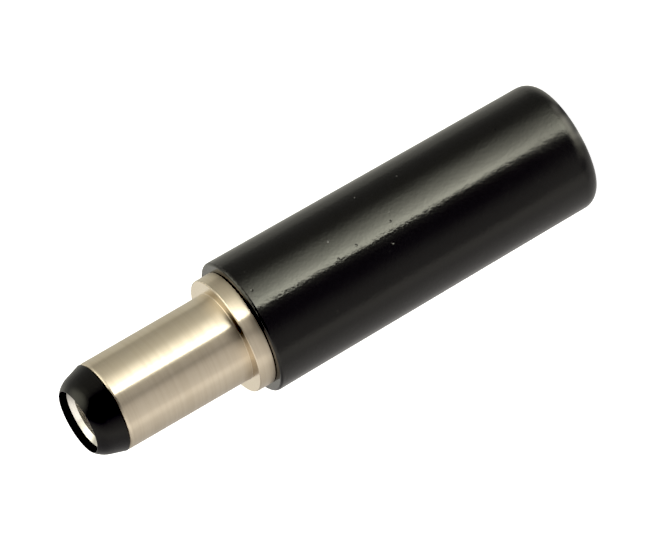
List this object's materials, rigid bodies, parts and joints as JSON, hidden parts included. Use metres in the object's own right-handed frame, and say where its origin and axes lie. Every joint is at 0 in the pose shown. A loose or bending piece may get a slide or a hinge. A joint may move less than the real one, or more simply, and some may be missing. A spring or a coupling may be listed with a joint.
{
  "type": "inline dc power plug",
  "caption": "Cable-mounted barrel plug: nickel barrel and flange with an insulating nose and hollow centre contact, solder terminals behind, in a screw-on moulded cover.",
  "frame": {"origin": "middle of the cover's flat rear end, on which the plug stands", "axes": "+Z along the plug's axis to the tip of the nose, -X on the side of the sleeve terminal's strip"},
  "size_m": [0.0082, 0.0082, 0.0329],
  "materials": {
    "cover_plastic": "glossy black moulding",
    "nickel_plate": "turned brass with bright nickel plate",
    "nose_plastic": "satin black moulding",
    "contact_plate": "turned brass with bright plate",
    "washer_board": "laminated paper board",
    "tag_plate": "stamped brass with tin plate"
  },
  "bodies": {
    "cover": {"cover": "cover_plastic"},
    "plug_core": {"barrel_sleeve": "nickel_plate", "nose_insulator": "nose_plastic", "centre_contact": "contact_plate", "rear_washer": "washer_board", "centre_terminal": "tag_plate", "sleeve_terminal": "tag_plate"}
  },
  "joints": [
    {"name": "core_draw", "type": "slide", "parent": "cover", "child": "plug_core", "axis": [0, 0, 1], "range_m": [0, 0.02]}
  ]
}
